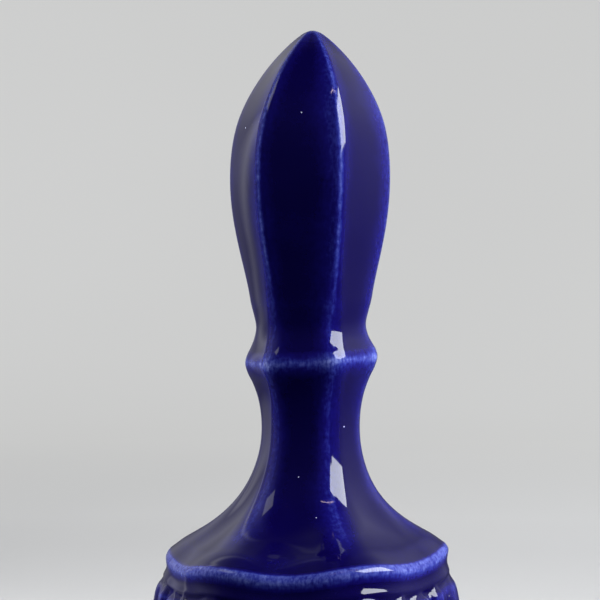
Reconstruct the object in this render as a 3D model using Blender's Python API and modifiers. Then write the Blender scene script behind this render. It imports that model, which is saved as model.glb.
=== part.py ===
"""A glazed ceramic hand bell: a six-sided spear handle, a flared shoulder and a faceted bell in one hollow
casting, with a bead clapper on a wire hung inside it.

Metres, +Z up. The origin is the centre of the mouth, in the plane that the bell stands on. Two of the six
flats face -Y and +Y, and two of the corners point along -X and +X.
"""

import math

import bmesh
import bpy

MM = 0.001
GAP = 0.3 * MM  # between pieces that touch
WELD = 0.001 * MM

# Driving dimensions of the casting. A reach is the distance from the axis to a rounded corner.
HEIGHT = 160 * MM
SPEAR_HEIGHT, SPEAR_REACH = 134.9 * MM, 13.65 * MM
WAIST_HEIGHT, WAIST_REACH = 110.0 * MM, 9.33 * MM
COLLAR_HEIGHT, COLLAR_REACH = 104.3 * MM, 11.31 * MM
NECK_HEIGHT, NECK_REACH = 92.7 * MM, 8.40 * MM
SHOULDER_HEIGHT, SHOULDER_REACH = 71.4 * MM, 24.2 * MM
GROOVE_HEIGHT, GROOVE_REACH = 69.6 * MM, 24.05 * MM
MOUTH_REACH = 41 * MM
LIP_REACH = 37.2 * MM
SIDES = 6
POINTS_PER_CORNER = 5
HANDLE_SHARE = 0.34  # a curve handle's length, as a share of the distance between its two knots
OUTSIDE_STEP = 3.6 * MM
INSIDE_STEP = 9 * MM
FEWEST_STEPS = 2

# The hanger and the clapper, from the crown down. Wire sizes are radii, and so are loop sizes, which run
# to the middle of the wire.
PLUG_TOP, PLUG_BOTTOM = 94 * MM, 84 * MM
EYE_WIRE, EYE_LOOP = 0.6 * MM, 2.2 * MM
EYE_BOTTOM = 77.5 * MM
EYE_ARC = math.radians(115)
LEG_OFFSET, LEG_TOP = 1.4 * MM, 91 * MM
RING_WIRE, RING_LOOP = 0.5 * MM, 2.6 * MM
STEM_WIRE, STEM_LOOP, CURL_LOOP = 0.5 * MM, 2.0 * MM, 1.5 * MM
BEAD_RADIUS, BEAD_HEIGHT, BEAD_HOLE = 7.5 * MM, 18 * MM, 1.1 * MM
CAP_THICKNESS, CAP_REACH, CAP_HOLE = 0.5 * MM, 3.2 * MM, 0.8 * MM
HOOK_RISE = 1.0 * MM  # how far a loop's first bend is from its base
HOOK_START, HOOK_END = math.radians(30), math.radians(328)

# How finely round shapes are divided.
TURN_STEPS = 24
WIRE_SIDES = 8
LOOP_STEPS = 18
BEAD_STEPS = 8
CAP_STEPS = 5
PLUG_STEP = MM
PANEL_SHARP, ROUND_SHARP = math.radians(35), math.radians(60)

EYE_CENTRE = EYE_BOTTOM + EYE_LOOP
RING_TOP = EYE_BOTTOM + EYE_WIRE + RING_WIRE + GAP
RING_CENTRE = RING_TOP - RING_LOOP
RING_BOTTOM = RING_CENTRE - RING_LOOP
STEM_LOOP_CENTRE = RING_BOTTOM + RING_WIRE + STEM_WIRE + GAP - STEM_LOOP

# Knots of the outside and the inside, from the top down: height, reach, lean from straight down towards
# straight out in degrees, and the corner radius as a share of the reach.
OUTSIDE = (
    (HEIGHT, 0.0, 90, 0.30),
    (HEIGHT - 1.2 * MM, 2.54 * MM, 51, 0.24),
    (147.7 * MM, 11.22 * MM, 26, 0.16),
    (SPEAR_HEIGHT, SPEAR_REACH, 0, 0.14),
    (122.0 * MM, 11.93 * MM, -13, 0.17),
    (113.8 * MM, 10.19 * MM, -9, 0.34),
    (WAIST_HEIGHT, WAIST_REACH, 0, 0.50),
    (106.7 * MM, 10.34 * MM, 27, 0.42),
    (COLLAR_HEIGHT, COLLAR_REACH, 0, 0.32),
    (100.9 * MM, 10.07 * MM, -25, 0.38),
    (NECK_HEIGHT, NECK_REACH, 0, 0.58),
    (83.5 * MM, 10.62 * MM, 27, 0.58),
    (75.1 * MM, 19.36 * MM, 62, 0.62),
    (72.8 * MM, 23.0 * MM, 50, 0.68),
    (SHOULDER_HEIGHT, SHOULDER_REACH, 0, 0.70),
    (GROOVE_HEIGHT, GROOVE_REACH, 0, 0.70),
    (65.7 * MM, 25.8 * MM, 17, 0.60),
    (62.0 * MM, 26.4 * MM, 6, 0.50),
    (44.0 * MM, 28.8 * MM, 12, 0.34),
    (17.0 * MM, 36.0 * MM, 19, 0.28),
    (3.5 * MM, 40.8 * MM, 12, 0.26),
    (1.6 * MM, MOUTH_REACH, -8, 0.26),
    (0.0, MOUTH_REACH - 1.1 * MM, -52, 0.26),
)
INSIDE = (
    (152.5 * MM, 0.0, 90, 0.90),
    (149.0 * MM, 3.6 * MM, 35, 0.90),
    (SPEAR_HEIGHT, 7.4 * MM, 0, 0.90),
    (WAIST_HEIGHT, 4.6 * MM, 0, 0.90),
    (COLLAR_HEIGHT, 4.9 * MM, 0, 0.90),
    (91.5 * MM, 3.8 * MM, 0, 0.90),
    (85.0 * MM, 4.7 * MM, 20, 0.90),
    (77.0 * MM, 11.6 * MM, 62, 0.60),
    (70.5 * MM, 19.6 * MM, 30, 0.36),
    (62.0 * MM, 21.9 * MM, 8, 0.32),
    (44.0 * MM, 24.7 * MM, 12, 0.28),
    (17.0 * MM, 31.9 * MM, 19, 0.22),
    (0.0, LIP_REACH, 14, 0.20),
)

# How the outside sits askew on the axis: at each height, its shift towards +X, the tilt in degrees that lifts
# its +X side, and how far the middle of each facet dips below the corners.
ASKEW = (
    (HEIGHT, 0.2 * MM, 0.0, 0.0),
    (SPEAR_HEIGHT, -0.15 * MM, 0.0, 0.0),
    (WAIST_HEIGHT, 0.3 * MM, 2.4, 0.0),
    (COLLAR_HEIGHT, 0.4 * MM, 3.7, 0.0),
    (NECK_HEIGHT, 0.4 * MM, 2.6, 0.0),
    (SHOULDER_HEIGHT, -0.2 * MM, 2.3, 1.1 * MM),
    (65.7 * MM, -0.4 * MM, 1.6, 0.9 * MM),
    (44.0 * MM, 0.0, 0.0, 0.0),
)

# Colours are linear RGB.
GLAZE = {"colour": (0.012, 0.013, 0.10), "roughness": 0.08, "metallic": 0.0}
PLASTER = {"colour": (0.72, 0.68, 0.60), "roughness": 0.85, "metallic": 0.0}
BRASS = {"colour": (0.70, 0.48, 0.20), "roughness": 0.30, "metallic": 1.0}


def clear_scene():
    for obj in list(bpy.data.objects):
        bpy.data.objects.remove(obj, do_unlink=True)


def new_collection(name):
    collection = bpy.data.collections.new(name)
    bpy.context.scene.collection.children.link(collection)
    return collection


def give_material(obj, finish):
    """The object's own material, with its colour, roughness and metallic value."""
    material = bpy.data.materials.new(obj.name)
    material.use_nodes = True
    shader = material.node_tree.nodes["Principled BSDF"]
    shader.inputs["Base Color"].default_value = (*finish["colour"], 1.0)
    shader.inputs["Roughness"].default_value = finish["roughness"]
    shader.inputs["Metallic"].default_value = finish["metallic"]
    obj.data.materials.clear()
    obj.data.materials.append(material)


def shade_round(mesh, sharp_from=ROUND_SHARP):
    mesh.shade_smooth()
    mesh.set_sharp_from_angle(angle=sharp_from)


def curve_between(knot, following, share):
    """A point of the cubic curve from one knot to the next, with its corner roundness."""
    z0, r0, lean0, round0 = knot
    z1, r1, lean1, round1 = following
    handle = HANDLE_SHARE * math.hypot(z1 - z0, r1 - r0)
    lean0, lean1 = math.radians(lean0), math.radians(lean1)
    heights = (z0, z0 - handle * math.cos(lean0), z1 + handle * math.cos(lean1), z1)
    reaches = (r0, r0 + handle * math.sin(lean0), r1 - handle * math.sin(lean1), r1)
    rest = 1 - share
    weights = (rest**3, 3 * rest**2 * share, 3 * rest * share**2, share**3)
    height = sum(w * z for w, z in zip(weights, heights))
    reach = sum(w * r for w, r in zip(weights, reaches))
    ease = share * share * (3 - 2 * share)
    return height, reach, round0 + (round1 - round0) * ease


def outline(knots, step):
    """Points down the curve through the knots, at most a step apart."""
    points = [knots[0][:2] + knots[0][3:]]
    for knot, following in zip(knots, knots[1:]):
        length = math.hypot(following[0] - knot[0], following[1] - knot[1])
        count = max(FEWEST_STEPS, math.ceil(length / step))
        points += [curve_between(knot, following, i / count) for i in range(1, count + 1)]
    return points


def sharp_reach(reach, roundness):
    """How far out the corner would be if it weren't rounded."""
    return reach * (1 + roundness * (1 / math.cos(math.pi / SIDES) - 1))


def flat_distance(reach, roundness):
    return sharp_reach(reach, roundness) * math.cos(math.pi / SIDES)


def askew(height):
    """The outside's shift, the slope of its tilt and its facets' dip at a height."""
    for upper, lower in zip(ASKEW, ASKEW[1:]):
        if height >= lower[0]:
            share = (upper[0] - height) / (upper[0] - lower[0])
            ease = share * share * (3 - 2 * share)
            shift, tilt, dip = (a + (b - a) * ease for a, b in zip(upper[1:], lower[1:]))
            return shift, math.tan(math.radians(tilt)), dip
    return 0.0, 0.0, 0.0


def placed(x, y, height, shift, slope, dip):
    """A point of a ring that sits askew."""
    sunk = dip * (1 - math.cos(SIDES * math.atan2(y, x))) / 2
    return x + shift, y, height + slope * x - sunk


def section(reach, roundness):
    """Points round a regular polygon with rounded corners, counterclockwise from above."""
    corner_radius = roundness * reach
    centre = sharp_reach(reach, roundness) - corner_radius / math.cos(math.pi / SIDES)
    flat = flat_distance(reach, roundness)
    for corner in range(SIDES):
        heading = math.tau * corner / SIDES
        for i in range(POINTS_PER_CORNER):
            facing = heading + math.tau / SIDES * (i / (POINTS_PER_CORNER - 1) - 0.5)
            yield (
                centre * math.cos(heading) + corner_radius * math.cos(facing),
                centre * math.sin(heading) + corner_radius * math.sin(facing),
            )
        middle = heading + math.pi / SIDES
        yield flat * math.cos(middle), flat * math.sin(middle)


def make_casting(collection):
    """The bell and its handle in one closed skin: down the outside, over the lip and up the inside."""
    rings = [(ring, *askew(ring[0])) for ring in outline(OUTSIDE, OUTSIDE_STEP)[1:]]
    rings += [(ring, 0.0, 0.0, 0.0) for ring in outline(INSIDE, INSIDE_STEP)[:0:-1]]
    body = bmesh.new()
    tip = body.verts.new((askew(HEIGHT)[0], 0, HEIGHT))
    hollow_top = body.verts.new((0, 0, INSIDE[0][0]))
    loops = [
        [body.verts.new(placed(x, y, height, *lie)) for x, y in section(reach, roundness)]
        for (height, reach, roundness), *lie in rings
    ]
    around = len(loops[0])
    for upper, lower in zip(loops, loops[1:]):
        for i in range(around):
            j = (i + 1) % around
            body.faces.new((upper[i], lower[i], lower[j], upper[j]))
    for pole, loop in ((tip, loops[0]), (hollow_top, loops[-1])):
        for i in range(around):
            body.faces.new((pole, loop[i], loop[(i + 1) % around]))
    bmesh.ops.recalc_face_normals(body, faces=body.faces)
    mesh = bpy.data.meshes.new("bell_casting")
    body.to_mesh(mesh)
    body.free()
    shade_round(mesh, PANEL_SHARP)
    casting = bpy.data.objects.new("bell_casting", mesh)
    collection.objects.link(casting)
    give_material(casting, GLAZE)


def turned(name, profile, collection):
    """A solid of revolution about the Z axis from a profile of (radius, height), outer side going down."""
    mesh = bpy.data.meshes.new(name)
    closed = profile[0][0] > 0
    count = len(profile)
    edges = [(i, (i + 1) % count) for i in range(count if closed else count - 1)]
    mesh.from_pydata([(radius, 0, z) for radius, z in profile], edges, [])
    obj = bpy.data.objects.new(name, mesh)
    collection.objects.link(obj)
    screw = obj.modifiers.new("turn", "SCREW")
    screw.steps = screw.render_steps = TURN_STEPS
    screw.use_merge_vertices = True
    screw.merge_threshold = WELD
    return obj


def solid_of(obj, collection):
    """The object as a plain mesh with welded points, in place of the curve or the modifiers."""
    graph = bpy.context.evaluated_depsgraph_get()
    mesh = bpy.data.meshes.new_from_object(obj.evaluated_get(graph))
    body = bmesh.new()
    body.from_mesh(mesh)
    bmesh.ops.remove_doubles(body, verts=body.verts, dist=WELD)
    bmesh.ops.recalc_face_normals(body, faces=body.faces)
    body.to_mesh(mesh)
    body.free()
    name, matrix = obj.name, obj.matrix_world.copy()
    bpy.data.objects.remove(obj, do_unlink=True)
    made = bpy.data.objects.new(name, mesh)
    made.matrix_world = matrix
    collection.objects.link(made)
    return made


def wire(name, route, radius, collection):
    """A round wire along points in the XZ plane."""
    data = bpy.data.curves.new(name, "CURVE")
    data.dimensions = "3D"
    data.bevel_depth = radius
    data.bevel_resolution = WIRE_SIDES // 2 - 2
    data.use_fill_caps = True
    spline = data.splines.new("POLY")
    spline.points.add(len(route) - 1)
    for point, (x, z) in zip(spline.points, route):
        point.co = (x, 0, z, 1)
    obj = bpy.data.objects.new(name, data)
    collection.objects.link(obj)
    return obj


def arc(centre, radius, start, end):
    """Points of an arc in the XZ plane. Angles run from straight down towards +X."""
    for i in range(LOOP_STEPS + 1):
        angle = start + (end - start) * i / LOOP_STEPS
        yield centre[0] + radius * math.sin(angle), centre[1] - radius * math.cos(angle)


def eye_route(leg_top):
    """Down one leg, round the eye and up the other leg."""
    loop = list(arc((0, EYE_CENTRE), EYE_LOOP, -EYE_ARC, EYE_ARC))
    rise = (loop[-1][0] - LEG_OFFSET) / math.tan(EYE_ARC - math.pi / 2)
    bend = loop[-1][1] + rise
    return [(-LEG_OFFSET, leg_top), (-LEG_OFFSET, bend), *loop, (LEG_OFFSET, bend), (LEG_OFFSET, leg_top)]


def hook(base, radius, side):
    """A loop at one end of the stem, which the wire leans out to from its base. Side is 1 above, -1 below."""
    for x, z in arc((0, HOOK_RISE + radius), radius, HOOK_START, HOOK_END):
        yield x, base + side * z


def make_plug(parts, cutters):
    """Plaster poured into the throat, which it fills, with holes for the eye's legs."""
    side = [
        (flat_distance(reach, roundness) - GAP, height)
        for height, reach, roundness in outline(INSIDE, PLUG_STEP)
        if PLUG_BOTTOM <= height <= PLUG_TOP
    ]
    profile = [(0, side[0][1]), *side, (0, side[-1][1])]
    plug = solid_of(turned("crown_plug", profile, parts), parts)
    legs = wire("leg_holes", eye_route(LEG_TOP + GAP), EYE_WIRE + GAP, cutters)
    legs = solid_of(legs, cutters)
    legs.hide_render = True
    legs.display_type = "WIRE"
    cut = plug.modifiers.new("leg holes", "BOOLEAN")
    cut.operation = "DIFFERENCE"
    cut.object = legs
    shade_round(plug.data, PANEL_SHARP)
    give_material(plug, PLASTER)


def make_eye(parts):
    eye = solid_of(wire("hanger_eye", eye_route(LEG_TOP), EYE_WIRE, parts), parts)
    shade_round(eye.data)
    give_material(eye, BRASS)


def make_ring(parts, swing):
    """The jump ring, in the plane across the eye's."""
    bpy.ops.mesh.primitive_torus_add(
        major_radius=RING_LOOP,
        minor_radius=RING_WIRE,
        major_segments=TURN_STEPS,
        minor_segments=WIRE_SIDES,
        rotation=(0, math.pi / 2, 0),
    )
    ring = bpy.context.object
    ring.name = ring.data.name = "jump_ring"
    for collection in ring.users_collection:
        collection.objects.unlink(ring)
    parts.objects.link(ring)
    ring.parent = swing
    ring.location.z = RING_CENTRE - EYE_BOTTOM
    shade_round(ring.data)
    give_material(ring, BRASS)


def make_stem(parts, sway):
    """The clapper's wire: a loop in the ring, a straight run through the bead, and a curl under it."""
    upper_base = STEM_LOOP_CENTRE - STEM_LOOP - HOOK_RISE
    lower_base = BEAD_HEIGHT - BEAD_RADIUS - CAP_THICKNESS - 2 * GAP
    route = [*hook(upper_base, STEM_LOOP, 1)][::-1] + [(0, upper_base)]
    route += [(0, lower_base)] + [*hook(lower_base, CURL_LOOP, -1)]
    stem = wire("clapper_stem", [(x, z - RING_BOTTOM) for x, z in route], STEM_WIRE, parts)
    stem = solid_of(stem, parts)
    stem.parent = sway
    shade_round(stem.data)
    give_material(stem, BRASS)


def round_profile(radius, start_reach, end_reach, count):
    """Points (radius, height) along a sphere's upper side, between two distances from the axis."""
    start, end = math.asin(start_reach / radius), math.asin(end_reach / radius)
    for i in range(count + 1):
        angle = start + (end - start) * i / count
        yield radius * math.sin(angle), radius * math.cos(angle)


def make_bead(parts, sway):
    """The striker: a glazed ball with a hole down its middle."""
    upper = [*round_profile(BEAD_RADIUS, BEAD_HOLE, BEAD_RADIUS, BEAD_STEPS)]
    lower = [(radius, -height) for radius, height in upper[-2::-1]]
    bead = solid_of(turned("clapper_bead", upper + lower, parts), parts)
    bead.parent = sway
    bead.location.z = BEAD_HEIGHT - RING_BOTTOM
    shade_round(bead.data)
    give_material(bead, GLAZE)


def make_caps(parts, sway):
    """Two thin cups, one over each end of the bead's hole."""
    inner = BEAD_RADIUS + GAP
    outer = inner + CAP_THICKNESS
    outside = [*round_profile(outer, CAP_HOLE, CAP_REACH, CAP_STEPS)]
    inside = [*round_profile(inner, CAP_HOLE, CAP_REACH, CAP_STEPS)]
    upper = solid_of(turned("upper_bead_cap", outside + inside[::-1], parts), parts)
    shade_round(upper.data, PANEL_SHARP)
    give_material(upper, BRASS)
    lower = bpy.data.objects.new("lower_bead_cap", upper.data)
    parts.objects.link(lower)
    lower.rotation_euler.x = math.pi
    for cap in (upper, lower):
        cap.parent = sway
        cap.location.z = BEAD_HEIGHT - RING_BOTTOM


def pivot(name, parts, height, parent=None):
    """An empty on the axis that a moving body turns about."""
    empty = bpy.data.objects.new(name, None)
    empty.empty_display_size = 5 * MM
    empty.location.z = height
    empty.parent = parent
    parts.objects.link(empty)
    return empty


def main():
    clear_scene()
    parts = new_collection("hand_bell")
    cutters = new_collection("cutters")
    swing = pivot("ring_pivot", parts, EYE_BOTTOM)
    sway = pivot("clapper_pivot", parts, RING_BOTTOM - EYE_BOTTOM, swing)
    make_casting(parts)
    make_plug(parts, cutters)
    make_eye(parts)
    make_ring(parts, swing)
    make_stem(parts, sway)
    make_bead(parts, sway)
    make_caps(parts, sway)


main()
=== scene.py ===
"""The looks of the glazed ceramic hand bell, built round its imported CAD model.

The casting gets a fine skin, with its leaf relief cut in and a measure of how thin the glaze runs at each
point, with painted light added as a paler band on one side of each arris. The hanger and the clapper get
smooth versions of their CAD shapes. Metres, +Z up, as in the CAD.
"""

import math

import bmesh
import bpy
import numpy as np
from mathutils import Matrix, Vector
from mathutils.bvhtree import BVHTree


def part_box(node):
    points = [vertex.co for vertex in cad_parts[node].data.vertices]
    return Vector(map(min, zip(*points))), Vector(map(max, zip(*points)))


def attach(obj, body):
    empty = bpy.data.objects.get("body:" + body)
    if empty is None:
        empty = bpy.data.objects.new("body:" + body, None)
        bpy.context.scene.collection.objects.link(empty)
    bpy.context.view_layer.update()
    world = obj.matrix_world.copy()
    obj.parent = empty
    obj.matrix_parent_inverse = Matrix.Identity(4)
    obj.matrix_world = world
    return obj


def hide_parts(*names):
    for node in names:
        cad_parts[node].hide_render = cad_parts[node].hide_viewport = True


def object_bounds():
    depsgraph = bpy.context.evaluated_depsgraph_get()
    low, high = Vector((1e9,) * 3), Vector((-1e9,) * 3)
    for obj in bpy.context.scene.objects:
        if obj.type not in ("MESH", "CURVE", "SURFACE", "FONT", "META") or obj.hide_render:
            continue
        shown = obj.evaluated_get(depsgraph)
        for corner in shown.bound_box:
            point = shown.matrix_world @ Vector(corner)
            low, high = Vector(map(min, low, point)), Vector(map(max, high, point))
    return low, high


MM = 0.001
SIDES = 6
HALF_SIDE = math.pi / SIDES

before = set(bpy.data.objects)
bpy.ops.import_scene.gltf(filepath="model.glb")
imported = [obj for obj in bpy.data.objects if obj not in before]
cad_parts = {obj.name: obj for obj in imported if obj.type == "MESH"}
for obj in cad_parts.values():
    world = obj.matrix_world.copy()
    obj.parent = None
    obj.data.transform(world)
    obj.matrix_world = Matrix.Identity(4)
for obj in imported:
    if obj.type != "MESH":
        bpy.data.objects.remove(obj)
cad_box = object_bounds()
HEIGHT = cad_box[1].z - cad_box[0].z

# The casting's fine skin. The dips, by height, are how far the facets' middles hang, eased in between.
ON_LINE = 0.02 * MM
NEAR_AXIS = 0.6 * MM
DIPS = ((0.0927, 0.0), (0.0714, 1.1 * MM), (0.0657, 0.9 * MM), (0.044, 0.0))
BESIDE = Vector((1e-6, 1e-6, 0))  # keeps a ray off the mesh's own edges
LOWEST_RAY = 1e-5
SAME_PLACE = 0.05 * MM
HANDLE_STEP, BODY_STEP, RELIEF_STEP, INSIDE_STEP = 0.5 * MM, 1.3 * MM, 0.35 * MM, 2.2 * MM
HANDLE_POINTS, BODY_POINTS = 40, 80
BODY_TOP = 0.46 * HEIGHT
CORNER_SHARE = 0.7  # how densely the points sit at a corner: 1 is even
FOOT_SHARES = (0.04, 0.35, 0.65, 0.96)  # where the foot ring's rows lie between the two walls
WOBBLE, WOBBLE_REACH = 0.04 * MM, 8 * MM  # the hand-finished unevenness, full from that reach outwards
WOBBLES = ((2, 60, 0), (5, -95, 1))  # how many waves go round, how they turn with height, and their start
SWELL, SWELL_REACH = 0.15 * MM, 13 * MM  # how full the handle's facets are, at that reach
SWELL_FADE = 4 * MM

# The relief: lobes that hang from the groove. It starts a little above its top, eases in, and fades out at
# its end. Each lobe has its far edge's distance from a corner, along the wall, and how far it hangs.
RELIEF_TOP = 0.0676
RELIEF_LENGTH, RELIEF_FADE = 24 * MM, 8 * MM
RELIEF_RISE, RELIEF_EASE = 0.6 * MM, 1.5 * MM
LOBES = ((6.4 * MM, 20 * MM), (9.8 * MM, 15.5 * MM), (16.6 * MM, 12 * MM))
SIDE_LOBE = 0.92  # the side lobes' height, where the corner's is 1
LOBE_TAPER = 0.55  # the share of a lobe's length that tapers
LOBE_ROUND, LOBE_SIDE, LOBE_TIP = 1.6, 1.5, 0.6  # how full, how steep, and how soon its tip sinks
RELIEF_DEPTH = 0.8 * MM

# How bare the glaze is, from 0 deep to 1 bare, and how far from an edge: along an arris, over a ridge, and
# where it breaks over a ring's edge, with a run below it and a fainter tail.
ARRIS_WIDTH, ARRIS_BARE = 0.32 * MM, 0.75
RIDGE_WIDTH, RIDGE_BARE = 1.9 * MM, 0.26
# On one side of each ridge the band is wider and barer: thin glaze plus painted light, the window-lit look
# of an arris.
THIN_AND_PAINTED_LIGHT_BAND_WIDTH, THIN_AND_PAINTED_LIGHT_BAND_BARE = 3.1 * MM, 0.40
RIDGE_FADE = 3 * MM
THIN_AND_PAINTED_LIGHT_BAND_SHARE = 0.27  # the most of a corner's reach that a band takes up
LOBE_BARE, LOBE_FADE = 0.2, 2 * MM
ROUND_CORNER = 0.06  # how much rounder than a sharp hexagon a ring is where its arris has gone
RUN_LENGTH, RUN_BARE = 0.9 * MM, 0.56
TAIL_LENGTH, TAIL_BARE = 3.0 * MM, 0.18
FULL_BREAK = 420  # the profile's turn, in radians a metre, that bares the most clay

# The plaster plug: how far its faces bow, how lumpy they are, and how far each reaches to the wall.
PLUG_ROWS, PLUG_STEPS = 14, 72
PLUG_BOW, PLUG_LUMP = 0.25 * MM, 0.09 * MM
PLUG_LUMPS = ((3, 5), (7, -9))  # how many lumps go round, and how they turn towards the edge
PLUG_LOWER, PLUG_UPPER = 0.985, 0.80

# The wires. The dome rows close a wire's end: how far back each is, and how wide, in radii.
WIRE_SIDES, LOOP_STEPS, RING_STEPS, STEM_STEPS = 20, 24, 96, 12
SMOOTHING = 2  # how many times a route's corners are cut
DOME = ((0.0, 0.25), (0.12, 0.7), (0.35, 0.94))
LEG_SHARE = 0.5
BEND_HEIGHT = 1.6  # where the eye's legs bend, in loop radii above its centre
EYE_ARC = math.radians(115)
HOOK_RISE = 1.0 * MM
HOOK_START, HOOK_END = math.radians(30), math.radians(328)
CURL_LOOP = 1.5 * MM
RING_GAP = math.radians(5)

# The bead and its caps.
BEAD_HOLE, BEAD_EDGE = 1.1 * MM, 0.35 * MM
TURNED_STEPS, BEAD_ROWS, EDGE_ROWS, CAP_ROWS = 96, 56, 6, 14
CAP_THICKNESS, CAP_HOLE, CAP_ROLL = 0.5 * MM, 0.8 * MM, 0.12 * MM
CAP_FLUTES, FLUTE_DEPTH, CAP_LIP = 12, 0.05 * MM, 0.02 * MM

# The camera: where it stands, what it looks at and how wide it sees.
CAMERA_AZIMUTH = math.radians(8)
CAMERA_DISTANCE = 0.297
CAMERA_HEIGHT = 0.775 * HEIGHT
AIM_HEIGHT = 0.7146 * HEIGHT
AIM_SIDE = -1.6 * MM
CAMERA_ROLL = math.radians(0.4)
FIELD_OF_VIEW = math.radians(19.5)
SENSOR_WIDTH = 36

# The stage: the floor's radius, the bend's and the wall's height, in metres.
FLOOR, BEND, WALL = 0.8, 0.5, 1.4
STAGE_STEPS, BEND_STEPS = 128, 16

# The lights, in metres and degrees: azimuth, elevation and distance from the handle, size, radiance and
# colour. A fill only lifts the colour of what it falls on, and isn't seen in the glaze.
LIGHT_HEIGHT = 0.68 * HEIGHT
WHITE = (1.0, 1.0, 1.0)
LIGHTS = {
    "window": ((76, 32, 1.0), (0.85, 0.64), 11, (0.92, 0.96, 1.0)),
    "strip": ((28, 60, 1.2), (0.75, 0.018), 14, (1.0, 0.74, 0.70)),
    "panel": ((-72, 48, 1.0), (0.40, 0.30), 1.5, (1.0, 1.0, 0.94)),
}
FILLS = {
    "left_fill": ((-105, 8, 0.28), (0.22, 0.22), 14, WHITE),
    "right_fill": ((105, 8, 0.28), (0.22, 0.22), 13, WHITE),
    "front_fill": ((20, 15, 0.28), (0.22, 0.22), 2, WHITE),
}


# ---------------------------------------------------------------- the casting's lines, read from the CAD


def mesh_tree(obj):
    mesh = obj.data
    mesh.calc_loop_triangles()
    points = [v.co for v in mesh.vertices]
    return BVHTree.FromPolygons(points, [tuple(t.vertices) for t in mesh.loop_triangles])


def smooth_step(x):
    x = np.clip(x, 0, 1)
    return x * x * (3 - 2 * x)


def facet_dip(height):
    """How far the middle of a facet hangs below its corners, round the shoulder."""
    dip = np.zeros_like(height)
    for (upper, upper_dip), (lower, lower_dip) in zip(DIPS, DIPS[1:]):
        share = smooth_step((upper - height) / (upper - lower))
        dip += (lower_dip - upper_dip) * share
    return dip


def seen_first(tree, points, way):
    """The points that a ray coming in from outside meets first, and the others."""
    seen, hidden = [], []
    for x, y, z in points:
        point = Vector((x, y, max(z, LOWEST_RAY)))
        met = tree.ray_cast(point - way + BESIDE, way)[0]
        (seen if met and (met - point).length < SAME_PLACE else hidden).append((x, y, z))
    return np.array(seen), np.array(hidden)


def wall_lines():
    """The casting's outside and inside, top down, as rows of height, reach, flat, shift, slope and dip.

    The reach is the distance to a corner, and the flat is the distance to the middle of a facet. The shift
    moves a ring along X, the slope lifts its +X side, and the dip is how far the middle of a facet hangs
    below the corners.
    """
    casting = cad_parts["bell_casting"]
    tree = mesh_tree(casting)
    places = {tuple(round(c, 6) for c in v.co) for v in casting.data.vertices}
    points = np.array(sorted(places, key=lambda place: -place[2]))
    x, y = points[:, 0], points[:, 1]
    on_line = np.abs(y) < ON_LINE
    poles = points[on_line & (np.abs(x) < NEAR_AXIS)]
    rights = seen_first(tree, points[on_line & (x > NEAR_AXIS)], Vector((-1, 0, 0)))
    lefts = seen_first(tree, points[on_line & (x < -NEAR_AXIS)], Vector((1, 0, 0)))
    walls = []
    for pole, right, left, start, way in zip(poles, rights, lefts, (-1, 0), (1, -1)):
        reach, shift = (right[:, 0] - left[:, 0]) / 2, (right[:, 0] + left[:, 0]) / 2
        height, slope = (right[:, 2] + left[:, 2]) / 2, (right[:, 2] - left[:, 2]) / 2 / reach
        dip = facet_dip(height) * (way > 0)
        flat = []
        for level, side in zip(np.maximum(height - dip, LOWEST_RAY), shift):
            front = tree.ray_cast(Vector((side, start, level)) + BESIDE, Vector((0, way, 0)))[0]
            flat.append(-front.y)
        rows = np.stack([height, reach, flat, shift, slope, dip], axis=1)
        walls.append(np.vstack([(pole[2], 0, 0, pole[0], slope[0], 0), rows]))
    return walls


def smooth_line(rows, step_at):
    """The line through the rows, smooth and resampled. step_at gives the spacing at a height."""
    mirrored = rows[1] * (1, -1, -1, 1, 1, 1)
    rows = np.vstack([mirrored, rows])
    gaps = np.linalg.norm(np.diff(rows[:, :2], axis=0), axis=1)
    along = np.concatenate([[0], np.cumsum(gaps)]) - gaps[0]
    slopes = np.gradient(rows, along, axis=0)
    at, places = 0.0, []
    while at < along[-1]:
        places.append(at)
        at += step_at(np.interp(at, along, rows[:, 0]))
    places.append(along[-1])
    places = np.array(places)
    index = np.clip(np.searchsorted(along, places, side="right") - 1, 0, len(along) - 2)
    width = along[index + 1] - along[index]
    t = ((places - along[index]) / width)[:, None]
    width = width[:, None]
    return (
        (2 * t**3 - 3 * t**2 + 1) * rows[index]
        + (t**3 - 2 * t**2 + t) * width * slopes[index]
        + (3 * t**2 - 2 * t**3) * rows[index + 1]
        + (t**3 - t**2) * width * slopes[index + 1]
    )


def around(per_side):
    """Directions round the axis, denser at the corners, and their angles from the nearest corner."""
    u = np.linspace(-1, 1, per_side, endpoint=False)
    local = HALF_SIDE * (CORNER_SHARE * u + (1 - CORNER_SHARE) * u**3)
    return np.concatenate([local + side * 2 * HALF_SIDE for side in range(SIDES)]), np.tile(local, SIDES)


def wall_radius(corner, flat, local):
    """How far the wall is from the axis, in directions local radians from a corner."""
    sharp = flat / math.cos(HALF_SIDE)
    rounding = np.maximum((sharp - corner) / (1 / math.cos(HALF_SIDE) - 1), 0)
    centre = sharp - rounding / math.cos(HALF_SIDE)
    turn = np.abs(local)
    tangent = np.arctan2(rounding * math.sin(HALF_SIDE), centre + rounding * math.cos(HALF_SIDE))
    round_part = np.sqrt(np.maximum(rounding**2 - (centre * np.sin(turn)) ** 2, 0))
    round_part = centre * np.cos(turn) + round_part
    flat_part = flat / np.cos(HALF_SIDE - turn)
    return np.where(turn > tangent, flat_part, round_part)


# ---------------------------------------------------------------- the relief and the glaze's thickness


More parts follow.
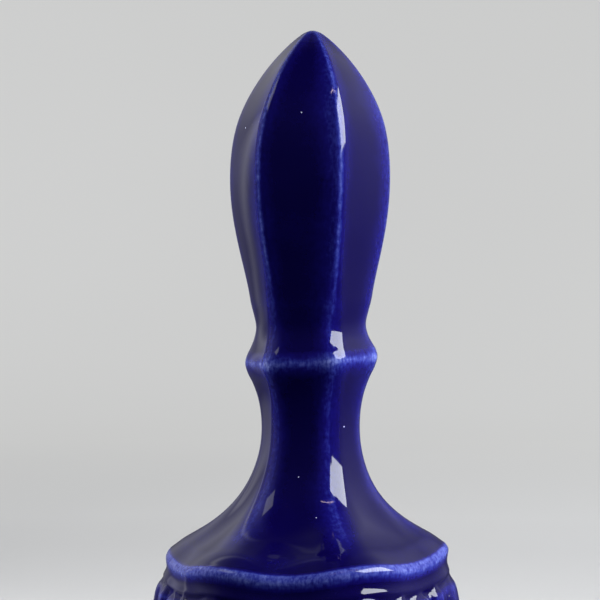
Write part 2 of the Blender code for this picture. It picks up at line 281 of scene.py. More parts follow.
def lobe_height(across, down, inner, outer, length):
    """One hanging lobe: a rounded top, full sides and a tapering tip. 1 on its crest, 0 outside it."""
    middle, half = (inner + outer) / 2, (outer - inner) / 2
    rounded = np.sqrt(np.clip(1 - np.clip((half - down) / half, 0, 1) ** 2, 0, 1))
    taper = np.sqrt(np.clip((length - down) / (LOBE_TAPER * length), 0, 1))
    width = half * np.minimum(rounded, taper) + 1e-9
    offset = np.abs(across - middle) / width
    crest = smooth_step(LOBE_SIDE * (1 - np.clip(offset, 0, 1) ** LOBE_ROUND))
    share = np.clip(width / half, 0, 1)
    return np.where((down > 0) & (down < length), crest * share**LOBE_TIP, 0.0)


def relief(height, reach, local):
    """How far the skin is cut in, 0 on the lobes' crests and 1 between them, and how near a crest it is."""
    down = RELIEF_TOP - height
    across = np.abs(local) * reach
    raised = lobe_height(across, down, -LOBES[0][0], *LOBES[0])
    for (inner, _), (outer, length) in zip(LOBES, LOBES[1:]):
        raised = np.maximum(raised, SIDE_LOBE * lobe_height(across, down, inner, outer, length))
    fade = smooth_step((RELIEF_LENGTH - down) / RELIEF_FADE)
    crest = raised**3 * smooth_step(down / LOBE_FADE) * fade
    return smooth_step((down + RELIEF_RISE) / RELIEF_EASE) * fade * (1 - raised), crest


def glaze_runs(rows):
    """How bare the glaze leaves each row of the profile: it breaks at an edge and gathers in a hollow."""
    height, reach = rows[:, 0], rows[:, 1]
    lean = np.unwrap(np.arctan2(np.gradient(reach), -np.gradient(height)))
    along = np.concatenate([[0], np.cumsum(np.hypot(np.diff(height), np.diff(reach)))])
    bend = -np.gradient(lean, along) / FULL_BREAK
    runs, carried, tail = [], 0.0, 0.0
    for turn, step in zip(bend, np.diff(along, prepend=0)):
        share, hollow = min(max(turn, 0), 1) ** 1.5, min(max(-turn, 0), 1) ** 2
        carried = max(share, carried * math.exp(-step / RUN_LENGTH) * (1 - hollow))
        tail = max(share, tail * math.exp(-step / TAIL_LENGTH) * (1 - hollow))
        runs.append(RUN_BARE * carried + TAIL_BARE * tail)
    return np.array(runs)


# ---------------------------------------------------------------- meshes


def ring_faces(start_a, count_a, start_b, count_b):
    """Faces between two rings of points, of equal counts or with twice as many on the second."""
    if count_a == count_b:
        for i in range(count_a):
            j = (i + 1) % count_a
            yield (start_a + i, start_b + i, start_b + j, start_a + j)
        return
    for i in range(count_a):
        j = (i + 1) % count_a
        k, m, n = 2 * i, 2 * i + 1, (2 * i + 2) % count_b
        yield (start_a + i, start_b + k, start_b + m)
        yield (start_a + i, start_b + m, start_a + j)
        yield (start_a + j, start_b + m, start_b + n)


def new_object(name, points, faces):
    mesh = bpy.data.meshes.new(name)
    mesh.from_pydata([tuple(p) for p in points], [], faces)
    mesh.validate()
    obj = bpy.data.objects.new(name, mesh)
    bpy.context.scene.collection.objects.link(obj)
    return obj


def face_outward(obj):
    body = bmesh.new()
    body.from_mesh(obj.data)
    bmesh.ops.recalc_face_normals(body, faces=body.faces)
    body.to_mesh(obj.data)
    body.free()
    obj.data.shade_smooth()


def add_measure(obj, name, values):
    attribute = obj.data.attributes.new(name, "FLOAT", "POINT")
    attribute.data.foreach_set("value", np.asarray(values, np.float32))


def skin_step(height):
    if height > BODY_TOP:
        return HANDLE_STEP
    return RELIEF_STEP if height > RELIEF_TOP - RELIEF_LENGTH else BODY_STEP


def casting_ring(row, wall):
    """One ring of the skin: its points, how near each is to a lobe's crest, and how far from a corner."""
    height, corner, flat, shift, slope, dip = row
    per_side = HANDLE_POINTS if wall == "inside" or height > BODY_TOP else BODY_POINTS
    directions, local = around(per_side)
    radius = wall_radius(corner, flat, local)
    crest = np.zeros(len(radius))
    if wall == "outside":
        cut, crest = relief(height, corner, local)
        waves = sum(np.sin(count * directions + twist * height + start) for count, twist, start in WOBBLES)
        fullness = SWELL * (corner / SWELL_REACH) ** 2 * smooth_step((height - BODY_TOP) / SWELL_FADE)
        swell = fullness * (1 - (1 - np.abs(local) / HALF_SIDE) ** 2)
        radius = radius - RELIEF_DEPTH * cut + (WOBBLE * waves + swell) * min(1, corner / WOBBLE_REACH)
    x, y = radius * np.cos(directions), radius * np.sin(directions)
    sunk = dip * (1 - np.cos(SIDES * directions)) / 2
    return np.stack([x + shift, y, height + slope * x - sunk], axis=1), crest, local * corner


def build_casting():
    """The casting's skin, down the outside, over the foot ring and up the inside."""
    outside, inside = wall_lines()
    outer, inner = smooth_line(outside, skin_step), smooth_line(inside, lambda height: INSIDE_STEP)
    foot = np.array([outer[-1] * (1 - t) + inner[-1] * t for t in FOOT_SHARES])
    runs = glaze_runs(outer)
    points, rings, measures = [], [], {"thin": [], "bare": [], "inner": []}
    walls = ((outer[1:], "outside", runs[1:]), (foot, "foot", np.zeros(len(foot))))
    walls += ((inner[:0:-1], "inside", np.zeros(len(inner) - 1)),)
    for rows, wall, bared in walls:
        for row, run in zip(rows, bared):
            ring, crest, off_corner = casting_ring(row, wall)
            height, corner, flat = row[:3]
            squareness = np.clip(1 - (flat / corner - math.cos(HALF_SIDE)) / ROUND_CORNER, 0, 1)
            arris = ARRIS_BARE * squareness * np.exp(-((off_corner / ARRIS_WIDTH) ** 2))
            # Thin glaze along each ridge; on one side the band is wider and barer, which is painted light,
            # the window-lit look of an arris.
            width = np.where(off_corner < 0, min(THIN_AND_PAINTED_LIGHT_BAND_WIDTH, THIN_AND_PAINTED_LIGHT_BAND_SHARE * corner), RIDGE_WIDTH)
            ridge_and_painted_band = np.where(off_corner < 0, THIN_AND_PAINTED_LIGHT_BAND_BARE, RIDGE_BARE) * np.exp(-((off_corner / width) ** 2))
            ridge_and_painted_band *= smooth_step((height - BODY_TOP) / RIDGE_FADE)
            rings.append((len(points), len(ring)))
            points.extend(ring)
            measures["thin"].extend(np.maximum(run, arris) + ridge_and_painted_band + LOBE_BARE * crest)
            measures["bare"].extend(np.full(len(ring), float(wall == "foot")))
            measures["inner"].extend(np.full(len(ring), float(wall == "inside")))
    faces = []
    for (a, count_a), (b, count_b) in zip(rings, rings[1:]):
        if count_a <= count_b:
            faces += list(ring_faces(a, count_a, b, count_b))
        else:
            faces += list(ring_faces(b, count_b, a, count_a))
    for pole, (start, count), is_inner in ((outer[0], rings[0], 0.0), (inner[0], rings[-1], 1.0)):
        points.append((pole[3], 0, pole[0]))
        faces += [(len(points) - 1, start + i, start + (i + 1) % count) for i in range(count)]
        measures["thin"].append(0.0)
        measures["bare"].append(0.0)
        measures["inner"].append(is_inner)
    skin = new_object("casting_skin", points, faces)
    for name, values in measures.items():
        add_measure(skin, name, values)
    face_outward(skin)
    return skin


def turned(name, profile, centre, waves=0, wave_height=0.0):
    """A ring-shaped solid turned from points (radius, height), and fluted where waves are asked for."""
    points, faces, steps = [], [], TURNED_STEPS
    for radius, height in profile:
        for i in range(steps):
            angle = math.tau * i / steps
            wide = radius + wave_height * math.cos(waves * angle) * radius / profile[-1][0]
            x, y = centre.x + wide * math.cos(angle), centre.y + wide * math.sin(angle)
            points.append((x, y, centre.z + height))
    for row in range(len(profile)):
        faces += list(ring_faces(row * steps, steps, (row + 1) % len(profile) * steps, steps))
    obj = new_object(name, points, faces)
    face_outward(obj)
    return obj


def rounded(route):
    """The route with its corners cut again and again, which leaves it smooth."""
    for _ in range(SMOOTHING):
        cut = [route[0]]
        for a, b in zip(route, route[1:]):
            cut += [a.lerp(b, 0.25), a.lerp(b, 0.75)]
        route = cut + [route[-1]]
    return route


def wire(name, route, radius):
    """A round wire along a flat route, with domed ends."""
    runs = [(b - a).normalized() for a, b in zip(route, route[1:])]
    tangents = [runs[0]] + [(a + b).normalized() for a, b in zip(runs, runs[1:])] + [runs[-1]]
    across = tangents[0].cross(tangents[len(tangents) // 3]).normalized()
    stations = []
    for back, wide in DOME:
        stations.append((route[0] + tangents[0] * radius * back, tangents[0], wide))
    stations += [(p, t, 1.0) for p, t in zip(route[1:-1], tangents[1:-1])]
    for back, wide in DOME[::-1]:
        stations.append((route[-1] - tangents[-1] * radius * back, tangents[-1], wide))
    points = []
    for place, tangent, wide in stations:
        other = tangent.cross(across).normalized()
        for i in range(WIRE_SIDES):
            angle = math.tau * i / WIRE_SIDES
            points.append(place + radius * wide * (math.cos(angle) * across + math.sin(angle) * other))
    faces = []
    for row in range(len(stations) - 1):
        faces += list(ring_faces(row * WIRE_SIDES, WIRE_SIDES, (row + 1) * WIRE_SIDES, WIRE_SIDES))
    faces += [tuple(range(WIRE_SIDES)), tuple(range(len(points) - WIRE_SIDES, len(points)))]
    obj = new_object(name, points, faces)
    face_outward(obj)
    return obj


def loop(centre, radius, start, end, count, plane="XZ"):
    """Points of an arc. Angles run from straight down towards +X, or +Y in the YZ plane."""
    for i in range(count + 1):
        angle = start + (end - start) * i / count
        side, height = radius * math.sin(angle), -radius * math.cos(angle)
        yield centre + (Vector((side, 0, height)) if plane == "XZ" else Vector((0, side, height)))


# ---------------------------------------------------------------- the small pieces


def build_plug():
    """The plaster that holds the eye. Its lower face is uneven, with the middle higher than the edge."""
    low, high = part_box("crown_plug")
    reach = (high.x - low.x) / 2
    rows, steps = PLUG_ROWS, PLUG_STEPS
    points, faces = [], []
    for side, level in ((-1, low.z), (1, high.z)):
        start = len(points)
        points.append((0, 0, level + PLUG_BOW * (side < 0)))
        for row in range(1, rows + 1):
            share = row / rows
            for i in range(steps):
                angle = math.tau * i / steps
                lump = sum(math.sin(count * angle + twist * share) for count, twist in PLUG_LUMPS)
                sag = (PLUG_BOW + PLUG_LUMP * lump * share) * (1 - share**6)
                radius = reach * (PLUG_LOWER * share if side < 0 else PLUG_UPPER * share)
                points.append((radius * math.cos(angle), radius * math.sin(angle), level - side * sag))
        faces += [(start, start + 1 + i, start + 1 + (i + 1) % steps) for i in range(steps)]
        for row in range(rows - 1):
            faces += list(ring_faces(start + 1 + row * steps, steps, start + 1 + (row + 1) * steps, steps))
    lower_edge, upper_edge = 1 + (rows - 1) * steps, len(points) - steps
    faces += list(ring_faces(lower_edge, steps, upper_edge, steps))
    plug = new_object("plaster_plug", points, faces)
    face_outward(plug)
    return plug


def build_eye():
    low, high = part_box("hanger_eye")
    radius = (high.y - low.y) / 2
    ring = (high.x - low.x) / 2 - radius
    leg = LEG_SHARE * (ring + radius)
    centre = Vector((0, 0, low.z + radius + ring))
    curve = list(loop(centre, ring, -EYE_ARC, EYE_ARC, LOOP_STEPS))
    legs = [Vector((-leg, 0, high.z - radius / 2)), Vector((-leg, 0, centre.z + BEND_HEIGHT * ring))]
    other = [Vector((-p.x, p.y, p.z)) for p in legs[::-1]]
    return wire("eye_wire", rounded(legs + curve + other), radius)


def build_ring():
    """The jump ring, whose two ends nearly meet on one side."""
    low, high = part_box("jump_ring")
    radius = (high.x - low.x) / 2
    centre = (low + high) / 2
    start = math.pi / 2 + RING_GAP / 2
    reach, end = (high.z - low.z) / 2 - radius, start + math.tau - RING_GAP
    return wire("ring_wire", list(loop(centre, reach, start, end, RING_STEPS, "YZ")), radius)


def hook(base, radius, side):
    """A loop at one end of the stem. Side is 1 above, -1 below."""
    centre = Vector((0, 0, HOOK_RISE + radius))
    for point in loop(centre, radius, HOOK_START, HOOK_END, LOOP_STEPS):
        yield Vector((point.x, 0, base + side * point.z))


def build_stem():
    low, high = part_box("clapper_stem")
    radius = (high.y - low.y) / 2
    upper = (high.x - low.x) / 2 - radius
    upper_base = high.z - radius - 2 * upper - HOOK_RISE
    lower_base = low.z + radius + 2 * CURL_LOOP + HOOK_RISE
    route = [*hook(upper_base, upper, 1)][::-1] + [Vector((0, 0, upper_base))]
    for i in range(1, STEM_STEPS + 1):
        route.append(Vector((0, 0, upper_base + (lower_base - upper_base) * i / STEM_STEPS)))
    return wire("stem_wire", rounded(route + [*hook(lower_base, CURL_LOOP, -1)]), radius)


def build_bead():
    """A glazed ball with softened edges to its hole."""
    low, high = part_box("clapper_bead")
    centre, radius = (low + high) / 2, (high.x - low.x) / 2
    start = math.asin((BEAD_HOLE + BEAD_EDGE) / radius)
    side = [start + (math.pi - 2 * start) * i / BEAD_ROWS for i in range(BEAD_ROWS + 1)]
    outside = [(radius * math.sin(a), radius * math.cos(a)) for a in side]
    rim = radius * math.cos(start) - BEAD_EDGE
    turn = [math.pi / 2 * i / EDGE_ROWS for i in range(EDGE_ROWS)]
    upper = [(BEAD_HOLE + BEAD_EDGE * (1 - math.cos(a)), rim + BEAD_EDGE * math.sin(a)) for a in turn]
    lower = [(r, -z) for r, z in upper[::-1]]
    return turned("bead", upper + outside + lower, centre)


def build_cap(name, node_name, side):
    """A thin fluted cup with a rolled rim, over one end of the bead's hole."""
    low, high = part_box(node_name)
    bead_low, bead_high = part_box("clapper_bead")
    centre = (bead_low + bead_high) / 2
    reach = (high.x - low.x) / 2
    end = high.z - centre.z if side > 0 else centre.z - low.z
    outer = math.hypot(end, CAP_HOLE)
    inner = outer - CAP_THICKNESS
    profile = []
    for radius, flip in ((inner, False), (outer, True)):
        start, stop = math.asin(CAP_HOLE / radius), math.asin((reach - CAP_ROLL) / radius)
        angles = [start + (stop - start) * i / CAP_ROWS for i in range(CAP_ROWS + 1)]
        arc = [(radius * math.sin(a), side * radius * math.cos(a)) for a in angles]
        profile += arc[::-1] if flip else arc
        if not flip:
            middle = (inner + outer) / 2 * math.cos(stop)
            profile.append((reach - CAP_LIP, side * middle))
    return turned(name, profile[::-1], centre, CAP_FLUTES, -FLUTE_DEPTH)


# ---------------------------------------------------------------- materials


def new_material(name):
    material = bpy.data.materials.new(name)
    material.use_nodes = True
    return material, material.node_tree, material.node_tree.nodes["Principled BSDF"]


def node(tree, kind, **settings):
    made = tree.nodes.new(kind)
    for key, value in settings.items():
        if key in made.inputs:
            made.inputs[key].default_value = value
        else:
            setattr(made, key, value)
    return made


def noise(tree, where, scale, detail=3.0, roughness=0.55):
    made = node(tree, "ShaderNodeTexNoise", Scale=scale, Detail=detail, Roughness=roughness)
    tree.links.new(where, made.inputs["Vector"])
    return made.outputs["Fac"]


def measure(tree, name):
    return node(tree, "ShaderNodeAttribute", attribute_name=name).outputs["Fac"]


def feed(tree, value, socket):
    """Links a node's output to the socket, or sets the socket to a number or a colour."""
    if isinstance(value, bpy.types.NodeSocket):
        tree.links.new(value, socket)
    else:
        socket.default_value = (*value, 1) if isinstance(value, tuple) else value


def math_node(tree, operation, *values, clamp=False):
    made = node(tree, "ShaderNodeMath", operation=operation, use_clamp=clamp)
    for value, socket in zip(values, made.inputs):
        feed(tree, value, socket)
    return made.outputs[0]


def add_scaled(tree, total, value, scale, middle=0.0):
    """The total plus (value - middle) * scale."""
    return math_node(tree, "ADD", total, math_node(tree, "MULTIPLY_ADD", value, scale, -middle * scale))


def stretched(tree, scale):
    """Object coordinates, scaled along each axis."""
    position = tree.nodes.new("ShaderNodeTexCoord")
    mapping = node(tree, "ShaderNodeMapping", Scale=scale)
    tree.links.new(position.outputs["Object"], mapping.inputs["Vector"])
    return mapping.outputs["Vector"]


def ramp(tree, value, stops):
    made = tree.nodes.new("ShaderNodeValToRGB")
    elements = made.color_ramp.elements
    while len(elements) < len(stops):
        elements.new(0.5)
    for element, (place, colour) in zip(elements, stops):
        element.position = place
        element.color = (*colour, 1)
    tree.links.new(value, made.inputs["Fac"])
    return made.outputs["Color"]


def blend(tree, share, first, second, how="MIX"):
    made = node(tree, "ShaderNodeMix", data_type="RGBA", blend_type=how)
    for value, socket in ((share, "Factor"), (first, 6), (second, 7)):
        feed(tree, value, made.inputs[socket])
    return made.outputs[2]


def bump(tree, shader, height, strength, distance):
    made = node(tree, "ShaderNodeBump", Strength=strength, Distance=distance)
    tree.links.new(height, made.inputs["Height"])
    tree.links.new(made.outputs["Normal"], shader.inputs["Normal"])


# The glaze's colours, from deep to bare.
COBALT = (
    (0.0, (0.0012, 0.0004, 0.020)),
    (0.25, (0.0020, 0.0008, 0.036)),
    (0.45, (0.0045, 0.0032, 0.090)),
    (0.65, (0.016, 0.021, 0.18)),
    (0.85, (0.050, 0.065, 0.27)),
    (1.0, (0.105, 0.130, 0.37)),
)


# The glaze's textures, in patches a metre, and how far the streaks are drawn out, downwards.
MOTTLE, STREAK, CLOUD, UNEVEN, WAVE, PINHOLES = 1500, 2600, 85, 160, 230, 300.0
STREAK_STRETCH = (1, 1, 0.25)
PINHOLE_RARITY, PINHOLE_SIZE = 0.86, 0.045


def pinholes(tree, where):
    """Sparse specks where a bubble burst in the glaze."""
    cells = node(tree, "ShaderNodeTexVoronoi", Scale=PINHOLES)
    tree.links.new(where, cells.inputs["Vector"])
    parts = tree.nodes.new("ShaderNodeSeparateColor")
    tree.links.new(cells.outputs["Color"], parts.inputs["Color"])
    chosen = math_node(tree, "GREATER_THAN", parts.outputs["Red"], PINHOLE_RARITY)
    small = math_node(tree, "LESS_THAN", cells.outputs["Distance"], PINHOLE_SIZE)
    return math_node(tree, "MULTIPLY", chosen, small)


# The glaze's own unevenness, 0 deep and 1 bare: its lowest, and how much clouds and mottling add.
GLAZE_LOWEST, GLAZE_CLOUD, GLAZE_MOTTLE, GLAZE_INSIDE = 0.10, 0.26, 0.06, 0.5
BREAK_GAIN, BREAK_OFFSET = 0.8, -0.12  # how the grain breaks up a bare edge
GLAZE_SMOOTH, GLAZE_DULL = 0.045, 0.16  # its roughness where deep, and what bareness adds
GLAZE_RIPPLE, RIPPLE_HEIGHT, RIPPLE_MOTTLE = 0.22, 0.04 * MM, 0.10
FOOT_RAGGED, FOOT_SHARP = 0.5, 5  # how uneven and how sharp its edge is round the bare foot
CLAY = ((0.3, (0.50, 0.45, 0.36)), (0.7, (0.68, 0.63, 0.53)))
CLAY_ROUGHNESS = 0.7
PINHOLE = (0.45, 0.47, 0.62)


def glaze_material(name, has_measures):
    """Cobalt glaze: deep where it pools, paler and mottled where it thins over edges; a band by each arris
    is painted light.
    """
    material, tree, shader = new_material(name)
    even = stretched(tree, (1, 1, 1))
    mottle = noise(tree, even, MOTTLE, 4)
    streak = noise(tree, stretched(tree, STREAK_STRETCH), STREAK, 3)
    cloud = noise(tree, even, CLOUD, 3)
    grain = math_node(tree, "ADD", mottle, streak)
    thin = math_node(tree, "MULTIPLY_ADD", cloud, GLAZE_CLOUD, GLAZE_LOWEST)
    thin = add_scaled(tree, thin, mottle, GLAZE_MOTTLE, 0.5)
    if has_measures:
        # The thin measure holds thin glaze and, beside each arris, a one-sided band of painted light.
        run, bare, inner = (measure(tree, each) for each in ("thin", "bare", "inner"))
        broken = math_node(tree, "MULTIPLY_ADD", grain, BREAK_GAIN, BREAK_OFFSET, clamp=True)
        thin = math_node(tree, "ADD", thin, math_node(tree, "MULTIPLY", run, broken))
        uneven = math_node(tree, "MULTIPLY", inner, noise(tree, even, UNEVEN, 4))
        thin = add_scaled(tree, thin, uneven, GLAZE_INSIDE)
    thin = math_node(tree, "ADD", thin, 0.0, clamp=True)
    colour = ramp(tree, thin, COBALT)
    rough = math_node(tree, "MULTIPLY_ADD", math_node(tree, "POWER", thin, 3), GLAZE_DULL, GLAZE_SMOOTH)
    if has_measures:
        clay = ramp(tree, mottle, CLAY)
        ragged = add_scaled(tree, bare, mottle, FOOT_RAGGED, 0.5)
        foot = math_node(tree, "MULTIPLY_ADD", ragged, FOOT_SHARP, (1 - FOOT_SHARP) / 2, clamp=True)
        colour = blend(tree, foot, colour, clay)
        dull = math_node(tree, "MULTIPLY", foot, CLAY_ROUGHNESS)
        rough = math_node(tree, "ADD", rough, dull, clamp=True)
    holes = pinholes(tree, even)
    colour = blend(tree, holes, colour, PINHOLE)
    tree.links.new(colour, shader.inputs["Base Color"])
    tree.links.new(rough, shader.inputs["Roughness"])
    shader.inputs["IOR"].default_value = 1.5
    waves = add_scaled(tree, noise(tree, even, WAVE, 2), mottle, RIPPLE_MOTTLE)
    bump(tree, shader, waves, GLAZE_RIPPLE, RIPPLE_HEIGHT)
    return material


# The brass: its bright and dull colours, its dull patches and drawn lines, in patches a metre, its roughness
# where bright, what tarnish and the lines add, and how deep the lines are.
HANGER_BRASS = ((0.74, 0.52, 0.23), (0.30, 0.19, 0.09))
CAP_BRASS = ((0.80, 0.57, 0.26), (0.42, 0.27, 0.12))
BRASS_PATCH, BRASS_LINES, LINE_STRETCH = 420, 5200, (1, 1, 0.06)
TARNISH_GAIN, TARNISH_OFFSET = 2.2, -0.7
BRASS_SMOOTH, BRASS_DULL, BRASS_GRAIN = 0.20, 0.25, 0.12
LINE_STRENGTH, LINE_DEPTH = 0.25, 0.02 * MM


def metal_material(name, bright, dull):
    """Drawn brass, with fine lines down it and dull patches."""
    material, tree, shader = new_material(name)
    even = stretched(tree, (1, 1, 1))
    patch = noise(tree, even, BRASS_PATCH, 5, 0.6)
    lines = noise(tree, stretched(tree, LINE_STRETCH), BRASS_LINES, 3)
    tarnish = math_node(tree, "MULTIPLY_ADD", patch, TARNISH_GAIN, TARNISH_OFFSET, clamp=True)
    tree.links.new(blend(tree, tarnish, bright, dull), shader.inputs["Base Color"])
    rough = math_node(tree, "MULTIPLY_ADD", tarnish, BRASS_DULL, BRASS_SMOOTH)
    tree.links.new(add_scaled(tree, rough, lines, BRASS_GRAIN, 0.5), shader.inputs["Roughness"])
    shader.inputs["Metallic"].default_value = 1
    bump(tree, shader, lines, LINE_STRENGTH, LINE_DEPTH)
    return material


# The plaster: its grain, stain and air holes, in patches a metre, its colours, and how deep the holes are.
PLASTER_GRAIN, PLASTER_STAIN, PLASTER_HOLES = 2600, 300, 1300.0
GRAIN_SHARE, STAIN_SHARE = 0.4, 0.6
PLASTER = ((0.3, (0.50, 0.45, 0.36)), (0.5, (0.66, 0.61, 0.52)), (0.7, (0.76, 0.72, 0.64)))
HOLE_SLOPE, HOLE_GRAIN, HOLE_STRENGTH, HOLE_DEPTH = 3, 0.6, 0.5, 0.1 * MM


def plaster_material():
    """Poured plaster: chalky, with air holes and a faint stain."""
    material, tree, shader = new_material("plaster")
    even = stretched(tree, (1, 1, 1))
    grain = noise(tree, even, PLASTER_GRAIN, 5, 0.7)
    stained = math_node(tree, "MULTIPLY", noise(tree, even, PLASTER_STAIN, 3), STAIN_SHARE)
    mixed = math_node(tree, "MULTIPLY_ADD", grain, GRAIN_SHARE, stained)
    tree.links.new(ramp(tree, mixed, PLASTER), shader.inputs["Base Color"])
    shader.inputs["Roughness"].default_value = 0.9
    holes = node(tree, "ShaderNodeTexVoronoi", Scale=PLASTER_HOLES)
    tree.links.new(even, holes.inputs["Vector"])
    pits = math_node(tree, "MULTIPLY", holes.outputs["Distance"], HOLE_SLOPE, clamp=True)
    bump(tree, shader, add_scaled(tree, pits, grain, HOLE_GRAIN), HOLE_STRENGTH, HOLE_DEPTH)
    return material


# The card's colours, and its painted light: an emission standing in for studio light on the card, dim near
# the bell and brighter further out, by the share of a distance, in metres, from the bell.
CARD = ((0.3, (0.365, 0.365, 0.37)), (0.7, (0.395, 0.395, 0.40)))
CARD_CLOUD = 2.6
PAINTED_LIGHT_REACH = 2.0
PAINTED_LIGHT_GLOW = (
    (0.1, (0.04, 0.04, 0.04)),
    (0.25, (0.30, 0.30, 0.295)),
    (0.4, (0.41, 0.41, 0.40)),
    (0.65, (0.45, 0.45, 0.44)),
)


def stage_material():
    """Matte card lit partly by painted light, an emission dim near the bell, seen only from its upper side.
    """
    material, tree, shader = new_material("pale_card")
    cloud = noise(tree, stretched(tree, (1, 1, 1)), CARD_CLOUD, 2)
    tree.links.new(ramp(tree, cloud, CARD), shader.inputs["Base Color"])
    shader.inputs["Roughness"].default_value = 0.95
    shader.inputs["Specular IOR Level"].default_value = 0
    position = tree.nodes.new("ShaderNodeTexCoord")
    away = node(tree, "ShaderNodeVectorMath", operation="LENGTH")
    tree.links.new(position.outputs["Object"], away.inputs[0])
    # Painted light: the card's emission stands in for studio light on it, dim near the bell and brighter
    # further out.
    painted_glow = ramp(tree, math_node(tree, "DIVIDE", away.outputs["Value"], PAINTED_LIGHT_REACH), PAINTED_LIGHT_GLOW)
    tree.links.new(painted_glow, shader.inputs["Emission Color"])
    shader.inputs["Emission Strength"].default_value = 1
    facing = tree.nodes.new("ShaderNodeNewGeometry")
    clear = tree.nodes.new("ShaderNodeBsdfTransparent")
    mix = tree.nodes.new("ShaderNodeMixShader")
    tree.links.new(facing.outputs["Backfacing"], mix.inputs["Fac"])
    tree.links.new(shader.outputs["BSDF"], mix.inputs[1])
    tree.links.new(clear.outputs["BSDF"], mix.inputs[2])
    tree.links.new(mix.outputs["Shader"], tree.nodes["Material Output"].inputs["Surface"])
    return material


# ---------------------------------------------------------------- stage, light and camera


def build_stage():
    """A pale floor that curves up into a wall on all sides. Glossy surfaces see the room instead."""
    angles = [math.pi / 2 * i / BEND_STEPS for i in range(BEND_STEPS + 1)]
    profile = [(FLOOR + BEND * math.sin(a), BEND * (1 - math.cos(a))) for a in angles]
    profile.append((FLOOR + BEND, WALL))
    steps = STAGE_STEPS
    points, faces = [(0, 0, 0)], [(0, 1 + i, 1 + (i + 1) % steps) for i in range(steps)]
    for radius, height in profile:
        for i in range(steps):
            angle = math.tau * i / steps
            points.append((radius * math.cos(angle), radius * math.sin(angle), height))
    for row in range(len(profile) - 1):
        faces += list(ring_faces(1 + row * steps, steps, 1 + (row + 1) * steps, steps))
    sweep = new_object("sweep", points, faces)
    sweep.data.shade_smooth()
    sweep.data.materials.append(stage_material())
    sweep.visible_glossy = False
    sweep.visible_diffuse = False


def polar(azimuth, elevation, distance, centre):
    """A point at an azimuth and elevation in degrees from a centre. Azimuth 0 is towards -Y."""
    a, e = math.radians(azimuth), math.radians(elevation)
    away = Vector((math.sin(a) * math.cos(e), -math.cos(a) * math.cos(e), math.sin(e)))
    return centre + distance * away


def point_at(obj, target, roll=0.0):
    facing = (obj.location - target).to_track_quat("Z", "Y").to_matrix()
    obj.rotation_euler = (facing @ Matrix.Rotation(roll, 3, "Z")).to_euler()


def area_light(name, where, size, radiance, colour, mirrored):
    centre = Vector((0, 0, LIGHT_HEIGHT))
    data = bpy.data.lights.new(name, "AREA")
    data.shape = "RECTANGLE"
    data.size, data.size_y = size
    data.energy = math.pi * size[0] * size[1] * radiance
    data.color = colour
    light = bpy.data.objects.new(name, data)
    bpy.context.scene.collection.objects.link(light)
    light.location = polar(*where, centre)
    light.visible_camera = False
    light.visible_glossy = mirrored
    point_at(light, centre)


# The room's brightness by azimuth in degrees, from behind on the left round the front, and by how high it
# is, from 0 straight down to 1 straight up.
ROOM_ROUND = (
    (-180, 0.12),
    (-160, 0.16),
    (-148, 0.36),
    (-137, 0.30),
    (-133.5, 0.26),
    (-129, 0.66),
    (-124.5, 0.20),
    (-118, 0.16),
    (-100, 0.24),
    (-80, 0.12),
    (-60, 0.03),
    (-40, 0.010),
    (40, 0.010),
    (75, 0.05),
    (98, 0.20),
    (115, 0.30),
    (148, 0.32),
    (162, 0.12),
    (180, 0.12),
)
ROOM_UP = (
    (0.0, 0.20),
    (0.38, 0.45),
    (0.50, 0.9),
    (0.60, 1.3),
    (0.72, 1.9),
    (0.85, 1.8),
    (0.94, 0.6),
    (1.0, 0.10),
)


def grey(value):
    return (value, value, value)


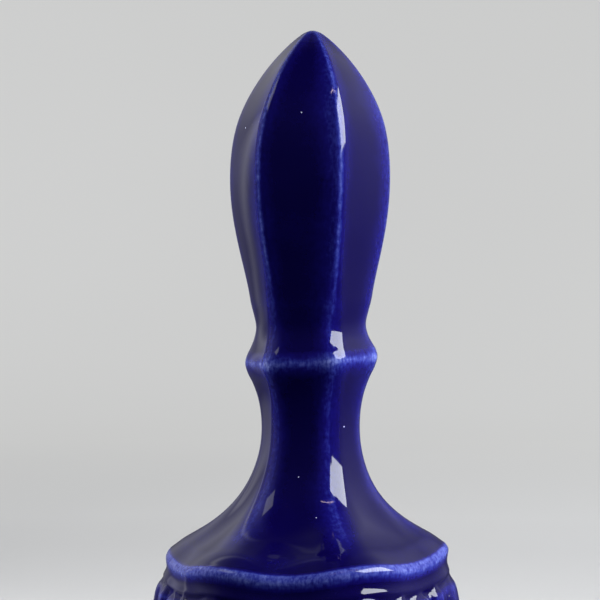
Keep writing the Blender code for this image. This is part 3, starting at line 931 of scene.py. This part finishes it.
def build_room():
    """A dark room in front, with a pale wall on the left and a dimmer one on the right."""
    world = bpy.data.worlds.new("room")
    world.use_nodes = True
    tree = world.node_tree
    direction = tree.nodes.new("ShaderNodeTexCoord")
    parts = tree.nodes.new("ShaderNodeSeparateXYZ")
    tree.links.new(direction.outputs["Generated"], parts.inputs["Vector"])
    forward = math_node(tree, "MULTIPLY", parts.outputs["Y"], -1)
    azimuth = math_node(tree, "ARCTAN2", parts.outputs["X"], forward)
    turn = math_node(tree, "MULTIPLY_ADD", azimuth, 1 / math.tau, 0.5)
    level = math_node(tree, "MULTIPLY_ADD", parts.outputs["Z"], 0.5, 0.5)
    walls = ramp(tree, turn, [(a / 360 + 0.5, grey(value)) for a, value in ROOM_ROUND])
    heights = ramp(tree, level, [(share, grey(value)) for share, value in ROOM_UP])
    background = tree.nodes["Background"]
    tree.links.new(blend(tree, 1.0, walls, heights, "MULTIPLY"), background.inputs["Color"])
    background.inputs["Strength"].default_value = 1
    bpy.context.scene.world = world


def build_lights():
    for name, settings in LIGHTS.items():
        area_light(name, *settings, mirrored=True)
    for name, settings in FILLS.items():
        area_light(name, *settings, mirrored=False)


def build_camera():
    data = bpy.data.cameras.new("camera")
    camera = bpy.data.objects.new("camera", data)
    bpy.context.scene.collection.objects.link(camera)
    data.sensor_width = SENSOR_WIDTH
    data.lens = data.sensor_width / 2 / math.tan(FIELD_OF_VIEW / 2)
    data.clip_start = 0.01
    away = Vector((math.sin(CAMERA_AZIMUTH), -math.cos(CAMERA_AZIMUTH), 0))
    right = Vector((math.cos(CAMERA_AZIMUTH), math.sin(CAMERA_AZIMUTH), 0))
    camera.location = CAMERA_DISTANCE * away + Vector((0, 0, CAMERA_HEIGHT)) + AIM_SIDE * right
    point_at(camera, AIM_SIDE * right + Vector((0, 0, AIM_HEIGHT)), CAMERA_ROLL)
    bpy.context.scene.camera = camera


# ---------------------------------------------------------------- everything in its place


def place(piece, material, body, slot, node_name):
    piece.data.materials.append(material)
    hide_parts(node_name)
    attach(piece, body)


build_camera()
build_stage()
build_room()
build_lights()

hanger_brass = metal_material("hanger_brass", *HANGER_BRASS)
cap_brass = metal_material("cap_brass", *CAP_BRASS)

place(build_casting(), glaze_material("cobalt_glaze", True), "shell", "cobalt_glaze", "bell_casting")
place(build_plug(), plaster_material(), "shell", "plaster", "crown_plug")
place(build_eye(), hanger_brass, "shell", "hanger_brass", "hanger_eye")
place(build_ring(), hanger_brass, "ring", "hanger_brass", "jump_ring")
place(build_stem(), hanger_brass, "clapper", "hanger_brass", "clapper_stem")
place(build_bead(), glaze_material("bead_glaze", False), "clapper", "bead_glaze", "clapper_bead")
place(build_cap("upper_cap", "upper_bead_cap", 1), cap_brass, "clapper", "cap_brass", "upper_bead_cap")
place(build_cap("lower_cap", "lower_bead_cap", -1), cap_brass, "clapper", "cap_brass", "lower_bead_cap")

bpy.context.scene.view_settings.view_transform = "Standard"
